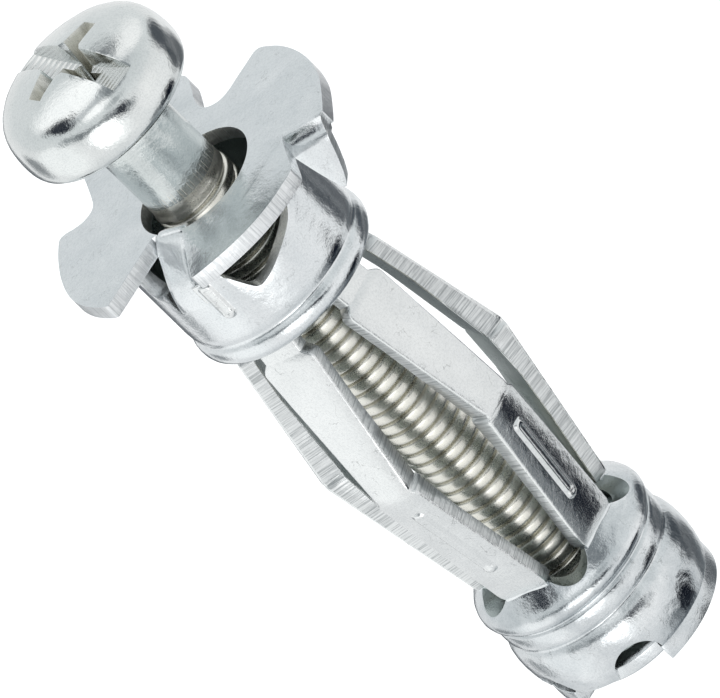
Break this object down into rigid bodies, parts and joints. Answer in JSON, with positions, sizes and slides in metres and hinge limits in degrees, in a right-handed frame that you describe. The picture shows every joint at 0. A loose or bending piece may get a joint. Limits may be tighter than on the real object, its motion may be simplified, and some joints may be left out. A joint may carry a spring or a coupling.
{
  "type": "hollow wall anchor",
  "caption": "Folding sheet-metal wall anchor: lobed flange, collar, slotted sleeve with folding legs, crimped-in nut and a pan-head machine screw.",
  "frame": {"origin": "on the screw's axis, at the wall-side face of the flange", "axes": "+Z along the screw towards its head; +X towards the gap between two legs that faces the viewer"},
  "size_m": [0.0178, 0.0172, 0.0471],
  "materials": {
    "sleeve_zinc": "bright zinc-plated pressed sheet steel",
    "screw_zinc": "zinc-plated, slightly yellowish steel",
    "nut_zinc": "zinc-plated steel"
  },
  "bodies": {
    "collar": {"sleeve_collar": "sleeve_zinc"},
    "screw": {"screw": "screw_zinc"},
    "tail": {"sleeve_tail": "sleeve_zinc", "threaded_nut": "nut_zinc"},
    "upper_1": {"upper_leg_1": "sleeve_zinc"},
    "lower_1": {"lower_leg_1": "sleeve_zinc"},
    "upper_2": {"upper_leg_2": "sleeve_zinc"},
    "lower_2": {"lower_leg_2": "sleeve_zinc"},
    "upper_3": {"upper_leg_3": "sleeve_zinc"},
    "lower_3": {"lower_leg_3": "sleeve_zinc"},
    "upper_4": {"upper_leg_4": "sleeve_zinc"},
    "lower_4": {"lower_leg_4": "sleeve_zinc"},
    "upper_5": {"upper_leg_5": "sleeve_zinc"},
    "lower_5": {"lower_leg_5": "sleeve_zinc"}
  },
  "joints": [
    {"name": "root_fold_1", "type": "hinge", "parent": "collar", "child": "upper_1", "pos_m": [0.00353, 0.00256, -0.0076], "axis": [0.5878, -0.809, 0], "range_deg": [0, 70]},
    {"name": "knee_fold_1", "type": "hinge", "parent": "upper_1", "child": "lower_1", "pos_m": [0.00438, 0.00318, -0.0179], "axis": [-0.5878, 0.809, 0], "range_deg": [0, 140]},
    {"name": "root_fold_2", "type": "hinge", "parent": "collar", "child": "upper_2", "pos_m": [-0.00135, 0.00415, -0.0076], "axis": [0.9511, 0.309, 0], "range_deg": [0, 70]},
    {"name": "knee_fold_2", "type": "hinge", "parent": "upper_2", "child": "lower_2", "pos_m": [-0.00167, 0.00514, -0.0179], "axis": [-0.9511, -0.309, 0], "range_deg": [0, 140]},
    {"name": "root_fold_3", "type": "hinge", "parent": "collar", "child": "upper_3", "pos_m": [-0.00436, 0, -0.0076], "axis": [0, 1, 0], "range_deg": [0, 70]},
    {"name": "knee_fold_3", "type": "hinge", "parent": "upper_3", "child": "lower_3", "pos_m": [-0.00541, 0, -0.0179], "axis": [0, -1, 0], "range_deg": [0, 140]},
    {"name": "root_fold_4", "type": "hinge", "parent": "collar", "child": "upper_4", "pos_m": [-0.00135, -0.00415, -0.0076], "axis": [-0.9511, 0.309, 0], "range_deg": [0, 70]},
    {"name": "knee_fold_4", "type": "hinge", "parent": "upper_4", "child": "lower_4", "pos_m": [-0.00167, -0.00514, -0.0179], "axis": [0.9511, -0.309, 0], "range_deg": [0, 140]},
    {"name": "root_fold_5", "type": "hinge", "parent": "collar", "child": "upper_5", "pos_m": [0.00353, -0.00256, -0.0076], "axis": [-0.5878, -0.809, 0], "range_deg": [0, 70]},
    {"name": "knee_fold_5", "type": "hinge", "parent": "upper_5", "child": "lower_5", "pos_m": [0.00438, -0.00318, -0.0179], "axis": [0.5878, 0.809, 0], "range_deg": [0, 140]},
    {"name": "foot_fold_1", "type": "hinge", "parent": "lower_1", "child": "tail", "pos_m": [0.00353, 0.00256, -0.0282], "axis": [0.5878, -0.809, 0], "range_deg": [0, 70]},
    {"name": "screw_turn", "type": "hinge", "parent": "collar", "child": "screw", "pos_m": [0, 0, 0], "axis": [0, 0, 1], "continuous": true}
  ],
  "couplings": [
    {"joint": "knee_fold_1", "follows": "root_fold_1", "ratio": 2},
    {"joint": "root_fold_2", "follows": "root_fold_1", "ratio": 1},
    {"joint": "knee_fold_2", "follows": "root_fold_1", "ratio": 2},
    {"joint": "root_fold_3", "follows": "root_fold_1", "ratio": 1},
    {"joint": "knee_fold_3", "follows": "root_fold_1", "ratio": 2},
    {"joint": "root_fold_4", "follows": "root_fold_1", "ratio": 1},
    {"joint": "knee_fold_4", "follows": "root_fold_1", "ratio": 2},
    {"joint": "root_fold_5", "follows": "root_fold_1", "ratio": 1},
    {"joint": "knee_fold_5", "follows": "root_fold_1", "ratio": 2},
    {"joint": "foot_fold_1", "follows": "root_fold_1", "ratio": 1}
  ]
}
